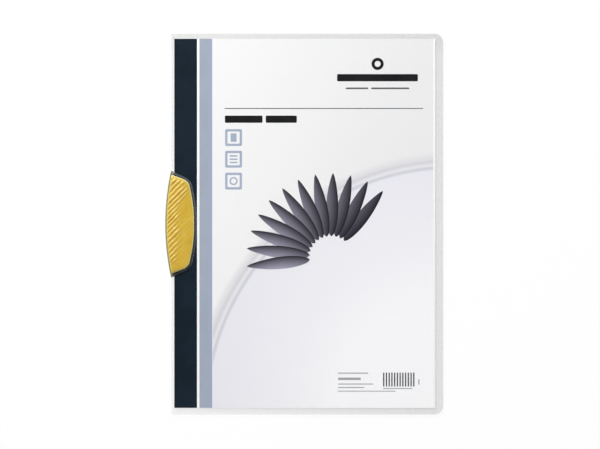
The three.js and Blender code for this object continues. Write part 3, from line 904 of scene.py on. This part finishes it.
# Paper shader: the ramp by distance from the disc's centre, the plain field outside it with painted shade
# darkening it towards the right, and white margins.
def makeSheetPaper(look):
    material, tree, output = newMaterial("printedPaper")
    place = objectPlace(tree)
    centre = sheetPoint(*look["discCentre"]) * mm
    kind = "ShaderNodeVectorMath"
    away = addNode(tree, kind, {0: place, 1: (*centre, 0)}, operation="SUBTRACT").outputs[0]
    flat = addNode(tree, kind, {0: away, 1: (1, 1, 0)}, operation="MULTIPLY").outputs[0]
    distance = addNode(tree, kind, {0: flat}, operation="LENGTH").outputs["Value"]
    share = math2(tree, "DIVIDE", distance, look["discRadius"] * mm)
    stops, scale = look["stops"], look["rampScale"]
    ramp = addNode(tree, "ShaderNodeValToRGB", {0: math2(tree, "MULTIPLY", share, scale)})
    elements = ramp.color_ramp.elements
    elements[0].color = screenColour(*stops[0][1])
    elements[1].position = stops[-1][0] * scale
    elements[1].color = screenColour(*stops[-1][1])
    for at, colour in stops[1:-1]:
        elements.new(at * scale).color = screenColour(*colour)
    parts = addNode(tree, "ShaderNodeSeparateXYZ", {0: place})
    leftEdge = sheetPoint(look["fieldLeft"], 0)[0] * mm
    rightEdge = sheetPoint(look["fieldRight"], 0)[0] * mm
    across = mapRange(tree, parts.outputs[0], leftEdge, rightEdge)
    plain = mixColour(tree, across, screenColour(*look["field"]), screenColour(*look["fieldShadedFarSide"]))
    outside = mapRange(tree, share, *look["discEdge"])
    field = mixColour(tree, outside, ramp.outputs[0], plain)
    soft = look["softness"] * mm
    inLeft = mapRange(tree, parts.outputs[0], leftEdge - soft, leftEdge + soft)
    inRight = mapRange(tree, parts.outputs[0], rightEdge + soft, rightEdge - soft)
    normal = addNode(tree, "ShaderNodeNewGeometry").outputs["Normal"]
    facesUp = addNode(tree, "ShaderNodeSeparateXYZ", {0: normal}).outputs[2]
    onTop = mapRange(tree, facesUp, *look["topFaces"])
    printed = mixColour(tree, inRight, screenColour(*look["rightMargin"]), field)
    inside = math2(tree, "MULTIPLY", inLeft, onTop)
    colour = mixColour(tree, inside, screenColour(*look["paper"]), printed)
    grainedSurface(tree, output, place, colour, look)
    return material


# Printing ink: its finish, and its colours
inkLook = {
    "grainScale": 1400,
    "grainDetail": 4,
    "grainStrength": 0.2,
    "grainDepth": 0.015,
    "roughness": (0.42, 0.55),
    "shine": 0.15,
    "cloudScale": 45,
    "cloudRange": (0.35, 0.65),
    "paler": (0.02, 2),  # the share of the way to white, and the levels added, where the ink is thin
}

inkColours = {
    "darkStripe": (5, 23, 36),
    "greyStripe": (157, 166, 181),
    "greyStripeFarSide": (160, 168, 191),
    "rule": (84, 85, 87),
    "black": (12, 12, 14),
    "icon": (160, 170, 190),
    "tick": (70, 70, 72),
    "smallPrint": (160, 160, 163),
}


# Plain ink: slightly paler in clouds; a second colour takes over between two places across the sheet.
def makeInk(name, colour, colourTwo=None, blendEdges=None):
    material, tree, output = newMaterial(name)
    place = objectPlace(tree)
    cloud = noise(tree, place, inkLook["cloudScale"], 2)
    base = np.array(colour, float)
    share, lift = inkLook["paler"]
    paler = tuple(np.clip(base + share * (255 - base) + lift, 0, 255))
    thin = mapRange(tree, cloud, *inkLook["cloudRange"])
    tone = mixColour(tree, thin, screenColour(*colour), screenColour(*paler))
    if colourTwo:
        parts = addNode(tree, "ShaderNodeSeparateXYZ", {0: place})
        low, high = (sheetPoint(edge, 0)[0] * mm for edge in blendEdges)
        tone = mixColour(tree, mapRange(tree, parts.outputs[0], low, high), tone, screenColour(*colourTwo))
    grainedSurface(tree, output, place, tone, inkLook)
    return material


# Blade ink: charcoal at the dark edge of each blade, paling across it by the blade's own tone attribute.
def makeBladeInk(dark, pale):
    material, tree, output = newMaterial("bladeInk")
    tone = addNode(tree, "ShaderNodeAttribute", attribute_name="tone").outputs["Fac"]
    ramp = addNode(tree, "ShaderNodeValToRGB", {0: tone})
    ramp.color_ramp.elements[0].color = screenColour(*dark)
    ramp.color_ramp.elements[1].color = screenColour(*pale)
    grainedSurface(tree, output, objectPlace(tree), ramp.outputs[0], inkLook)
    return material


inkDepth = {"sunk": 0.01, "proud": 0.012, "step": 0.004}  # the step lifts each blade over the one before


# Printed fields: each outline (x right, y down on the sheet) becomes a thin closed plate on the paper.
def inkPlates(outlines):
    points, faces, count = [], [], 0
    for outline in outlines:
        loop = np.column_stack(sheetPoint(outline[:, 0], outline[:, 1]))
        heights = [sheetHigh[2] - inkDepth["sunk"], sheetHigh[2] + inkDepth["proud"]]
        points.append(loft([loop, loop], heights))
        faces += [[k + count for k in f] for f in loftFaces(2, len(loop))]
        count += 2 * len(loop)
    return np.concatenate(points), faces


# A frame between two outlines of equally many points, as one closed plate.
def inkFrame(outer, inner):
    low, high = sheetHigh[2] - inkDepth["sunk"], sheetHigh[2] + inkDepth["proud"]
    loops = [np.column_stack(sheetPoint(o[:, 0], o[:, 1])) for o in (outer, inner, inner, outer)]
    count = len(outer)
    quads = gridQuads(5, count, closed=True) % (4 * count)
    return loft(loops, [high, high, low, low]), quads.tolist()


# A bar's outline, with a corner radius where one is given.
def roundedBar(left, top, right, bottom, radius=0.0):
    if radius == 0:
        return np.array([[left, top], [right, top], [right, bottom], [left, bottom]], float)
    corners = [(left, top, radius), (right, top, radius), (right, bottom, radius), (left, bottom, radius)]
    return roundCorners(corners, steps=8)


# Points of a circle by the cosine and sine of its turn.
def circle(x, y, radius, steps=64):
    turn = np.linspace(0, 2 * math.pi, steps, endpoint=False)
    return np.column_stack([x + radius * np.cos(turn), y + radius * np.sin(turn)])


# Gathers plates of one ink into a piece that lies on the sheet.
def printPiece(name, plates, material):
    points, faces, count = [], [], 0
    for platePoints, plateFaces in plates:
        points.append(platePoints)
        faces += [[k + count for k in f] for f in plateFaces]
        count += len(platePoints)
    piece = makePiece(name, np.concatenate(points), faces)
    return finishPiece(piece, "cover", "printed_sheet", material)


# Layout, in millimetres to the right and down from the sheet's upper left corner
printLayout = {
    "stripe": (0.0, 18.3),
    "secondStripe": (20.2, 30.6),
    "secondStripeTurn": (26.6, 28.2),
    "rule": (40.5, 55.7, 200.2, 56.4),
    "heading": [(40.7, 61.8, 71.0, 67.6), (73.6, 61.8, 98.6, 67.6)],
    "iconLeft": 40.9,
    "iconTops": (72.7, 90.1, 107.7),
    "iconSize": 13.6,
    "iconWall": 1.9,
    "iconRadii": (1.3, 0.7),
    "ring": (163.6, 20.2, 4.9, 2.4),
    "ringBars": [(131.0, 28.4, 196.0, 34.2)],
    "ringLines": [(138.0, 39.2, 156.0, 40.5), (158.4, 39.2, 189.0, 40.5)],
    "barRadius": 0.9,
    "ringLineRadius": 0.5,
    "lineRadius": 0.2,
    "ticks": {"left": 168.0, "top": 268.6, "bottom": 279.8, "count": 12, "pitch": 2.2, "width": 1.05},
    "tickNote": (168.0, 281.0, 191.5, 281.8),
    "lines": [
        (131.8, 268.6, 156.0, 269.5),
        (131.8, 272.6, 150.0, 274.6),
        (131.8, 277.4, 160.0, 278.2),
        (131.8, 280.2, 153.0, 281.0),
        (131.8, 283.2, 178.0, 283.9),
        (196.3, 274.0, 197.3, 278.2),
    ],
}

# Signs inside the icon frames: half sizes of the sheet, of one line of writing, and the ring's radii
signs = {
    "sheet": (2.4, 3.4),
    "sheetRadius": 0.4,
    "line": (3.2, 0.6),
    "lineRadius": 0.3,
    "linePitch": 2.6,
    "ring": (3.3, 2.1),
}

fan = {
    "hub": (126.0, 176.0),
    "count": 12,
    "from": 52,
    "to": 186,
    "inner": 17.0,
    "outer": 68.0,
    "halfWidth": 4.9,
    "leastHalfWidth": 0.05,
    "fullest": 0.8,  # moves the fullest place along the blade
    "bluntness": 0.7,
    "points": (33, 7),  # along a blade and across it
    "toneAtEnds": 0.35,
    "toneOfFirst": 0.25,
    "dark": (20, 18, 28),
    "pale": (160, 158, 176),
}


# Fan: leaf-shaped blades round a hub; half-width is a sine along the blade, tone rises across it.
def makeFan(look):
    rows, columns = look["points"]
    along = np.linspace(0, 1, rows)
    across = np.linspace(-1, 1, columns)
    points, faces, tones, count = [], [], [], 0
    reach = look["inner"] + (look["outer"] - look["inner"]) * along
    half = look["halfWidth"] * np.sin(math.pi * along ** look["fullest"]) ** look["bluntness"]
    half += look["leastHalfWidth"]
    ends = look["toneAtEnds"]
    tone = (0.5 + 0.5 * across) * (ends + (1 - ends) * np.sin(math.pi * along))[:, None]
    quads = gridQuads(rows, columns)
    rim = np.concatenate([
        np.arange(columns),
        np.arange(1, rows) * columns + columns - 1,
        (rows - 1) * columns + np.arange(columns - 1)[::-1],
        np.arange(1, rows - 1)[::-1] * columns,
    ])
    size = rows * columns
    walls = np.column_stack([rim, np.roll(rim, -1), np.roll(rim, -1) + size, rim + size])
    blade = np.concatenate([quads, quads[:, ::-1] + size, walls[:, ::-1]])
    for k in range(look["count"]):
        place = k / (look["count"] - 1)
        angle = math.radians(look["from"] + (look["to"] - look["from"]) * place)
        radial = np.array([math.cos(angle), -math.sin(angle)])
        sideways = np.array([radial[1], -radial[0]])
        grid = reach[:, None, None] * radial + (half[:, None] * across)[:, :, None] * sideways + look["hub"]
        flat = np.stack([sheetLow[0] + grid[..., 0], sheetHigh[1] - grid[..., 1]], -1).reshape(-1, 2)
        strength = look["toneOfFirst"] + (1 - look["toneOfFirst"]) * place
        for z in (sheetHigh[2] + inkDepth["proud"] + inkDepth["step"] * k, sheetHigh[2] - inkDepth["sunk"]):
            points.append(np.column_stack([flat, np.full(size, z)]))
            tones.append((tone * strength).ravel())
        faces += (blade + count).tolist()
        count += 2 * size
    piece = makePiece("print_fan", np.concatenate(points), faces)
    attribute = piece.data.attributes.new("tone", "FLOAT", "POINT")
    attribute.data.foreach_set("value", np.concatenate(tones).astype(np.float32))
    return finishPiece(piece, "cover", "printed_sheet", makeBladeInk(look["dark"], look["pale"]))


# Stripes, the thin rule and lines, and the bold bars with the ring.
def makePrint(layout):
    height = sheetHigh[1] - sheetLow[1]
    colours = inkColours
    low, high = layout["stripe"]
    ink = makeInk("darkStripeInk", colours["darkStripe"])
    printPiece("print_dark_stripe", [inkPlates([roundedBar(low, 0, high, height)])], ink)
    low, high = layout["secondStripe"]
    edges = layout["secondStripeTurn"]
    ink = makeInk("greyStripeInk", colours["greyStripe"], colours["greyStripeFarSide"], edges)
    printPiece("print_grey_stripe", [inkPlates([roundedBar(low, 0, high, height)])], ink)
    radius = layout["ringLineRadius"]
    bars = [roundedBar(*layout["rule"])] + [roundedBar(*bar, radius) for bar in layout["ringLines"]]
    printPiece("print_rule", [inkPlates(bars)], makeInk("ruleInk", colours["rule"]))
    x, y, outer, inner = layout["ring"]
    bars = [roundedBar(*bar, layout["barRadius"]) for bar in layout["heading"] + layout["ringBars"]]
    ring = inkFrame(circle(x, y, outer), circle(x, y, inner))
    printPiece("print_heading", [inkPlates(bars), ring], makeInk("blackInk", colours["black"]))
    makeIcons(layout)
    makeSmallPrint(layout)


# Icons: rounded square frames round a plain sign: a sheet, lines of writing and a ring.
def makeIcons(layout):
    size, wall, left = layout["iconSize"], layout["iconWall"], layout["iconLeft"]
    outerRadius, innerRadius = layout["iconRadii"]
    right = left + size
    plates = []
    for top in layout["iconTops"]:
        low = top + size
        outer = roundedBar(left, top, right, low, outerRadius)
        inner = roundedBar(left + wall, top + wall, right - wall, low - wall, innerRadius)
        plates.append(inkFrame(outer, inner))
    first, second, third = (top + size / 2 for top in layout["iconTops"])
    middle = left + size / 2

    def sign(y, halves, radius):
        wide, high = halves
        return roundedBar(middle - wide, y - high, middle + wide, y + high, radius)

    rows = [second - signs["linePitch"], second, second + signs["linePitch"]]
    plates.append(inkPlates([sign(first, signs["sheet"], signs["sheetRadius"])]))
    plates.append(inkPlates([sign(y, signs["line"], signs["lineRadius"]) for y in rows]))
    plates.append(inkFrame(*(circle(middle, third, radius) for radius in signs["ring"])))
    printPiece("print_icons", plates, makeInk("iconInk", inkColours["icon"]))


# Even ticks in a row, and thin lines beside and below them.
def makeSmallPrint(layout):
    ticks = layout["ticks"]
    lefts = ticks["left"] + ticks["pitch"] * np.arange(ticks["count"])
    bars = [roundedBar(x, ticks["top"], x + ticks["width"], ticks["bottom"]) for x in lefts]
    printPiece("print_ticks", [inkPlates(bars)], makeInk("tickInk", inkColours["tick"]))
    lines = [roundedBar(*line, layout["lineRadius"]) for line in layout["lines"] + [layout["tickNote"]]]
    printPiece("print_small_lines", [inkPlates(lines)], makeInk("smallPrintInk", inkColours["smallPrint"]))


paperMaterial = makeSheetPaper(sheetPrint)
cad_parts["insert_sheet"].data.materials.clear()
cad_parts["insert_sheet"].data.materials.append(paperMaterial)
makePrint(printLayout)
makeFan(fan)
print("sheet printed")


# Rivet and cap: plain milky plastic with the turning marks of a small moulding
rivetLook = {
    "colour": (206, 208, 204),
    "paler": 8,
    "roughness": (0.38, 0.5),
    "shine": 0.5,
    "cloudScale": 300,
    "cloudRange": (0.35, 0.65),
    "grainScale": 1800,
    "grainDetail": 3,
    "grainStrength": 0.3,
    "grainDepth": 0.01,
}


def makeRivetPlastic(look):
    material, tree, output = newMaterial("rivetPlastic")
    place = objectPlace(tree)
    cloud = noise(tree, place, look["cloudScale"], 2)
    paler = tuple(min(255, c + look["paler"]) for c in look["colour"])
    share = mapRange(tree, cloud, *look["cloudRange"])
    colour = mixColour(tree, share, screenColour(*look["colour"]), screenColour(*paler))
    grainedSurface(tree, output, place, colour, look)
    return material


rivetMaterial = makeRivetPlastic(rivetLook)
for nodeName in ("pivot_rivet", "pivot_cap"):
    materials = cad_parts[nodeName].data.materials
    materials.clear()
    materials.append(rivetMaterial)
print("rivet finished")


# Studio: a white floor that keeps a soft shadow, a key from the upper left and a weaker fill
studio = {
    "floorSize": 6000,
    "floorBelow": 0.02,
    "floorColour": (250, 250, 250),
    "floorGlow": 0.88,
    "worldDiffuse": 0.32,
    "worldZenith": 0.04,
    "worldHorizon": 0.95,
    "worldTurn": (0.55, 0.97),  # how far up the bright sides turn to the dark zenith
    "key": {"place": (-1050, 2080, 1650), "size": 700, "power": 97.0},
    "fill": {"place": (1500, -1500, 2200), "size": 1400, "power": 8.0},
}


# Floor: one large face that glows for the camera, for reflections and through the film, and else is matt.
def makeFloor(look):
    size, z = look["floorSize"], -look["floorBelow"]
    corners = [(-size, -size, z), (size, -size, z), (size, size, z), (-size, size, z)]
    floor = makePiece("floor", corners, [[0, 1, 2, 3]])
    material, tree, output = newMaterial("floorWhite")
    path = addNode(tree, "ShaderNodeLightPath")
    seen = math2(tree, "MAXIMUM", path.outputs["Is Camera Ray"], path.outputs["Is Glossy Ray"])
    seen = math2(tree, "MAXIMUM", seen, path.outputs["Is Transmission Ray"])
    share = math2(tree, "MULTIPLY", seen, look["floorGlow"])
    matt = addNode(tree, "ShaderNodeBsdfDiffuse", {"Color": screenColour(*look["floorColour"])})
    glow = addNode(tree, "ShaderNodeEmission", {"Color": (1, 1, 1, 1), "Strength": 1.0})
    surface = addNode(tree, "ShaderNodeMixShader", {0: share, 1: matt.outputs[0], 2: glow.outputs[0]})
    tree.links.new(surface.outputs[0], output.inputs[0])
    floor.data.materials.append(material)


# World: white to the camera, and for reflections dark overhead and bright at the sides.
def makeWorld(look):
    world = bpy.data.worlds.new("studio")
    world.use_nodes = True
    tree = world.node_tree
    tree.nodes.clear()
    output = tree.nodes.new("ShaderNodeOutputWorld")
    path = addNode(tree, "ShaderNodeLightPath")
    direction = addNode(tree, "ShaderNodeTexCoord").outputs["Generated"]
    up = addNode(tree, "ShaderNodeSeparateXYZ", {0: direction}).outputs[2]
    mirrored = mapRange(tree, up, *look["worldTurn"], look["worldHorizon"], look["worldZenith"])
    glossy = path.outputs["Is Glossy Ray"]
    camera = math2(tree, "MAXIMUM", path.outputs["Is Camera Ray"], path.outputs["Is Transmission Ray"])
    difference = math2(tree, "SUBTRACT", mirrored, look["worldDiffuse"])
    soft = math2(tree, "MULTIPLY_ADD", glossy, difference, look["worldDiffuse"])
    strength = math2(tree, "MULTIPLY_ADD", camera, math2(tree, "SUBTRACT", 1.0, soft), soft)
    background = addNode(tree, "ShaderNodeBackground", {"Color": (1, 1, 1, 1), "Strength": strength})
    tree.links.new(background.outputs[0], output.inputs[0])
    bpy.context.scene.world = world


# A round lamp that points at the middle of the folder.
def makeLamp(name, look):
    data = bpy.data.lights.new(name, "AREA")
    data.shape = "DISK"
    data.size = look["size"] * mm
    data.energy = look["power"]
    lamp = bpy.data.objects.new(name, data)
    lamp.location = Vector(look["place"]) * mm
    lamp.rotation_euler = (-lamp.location).to_track_quat("-Z", "Y").to_euler()
    bpy.context.collection.objects.link(lamp)


makeFloor(studio)
makeWorld(studio)
makeLamp("key", studio["key"])
makeLamp("fill", studio["fill"])
bpy.context.scene.view_settings.view_transform = "Standard"
print("studio set")
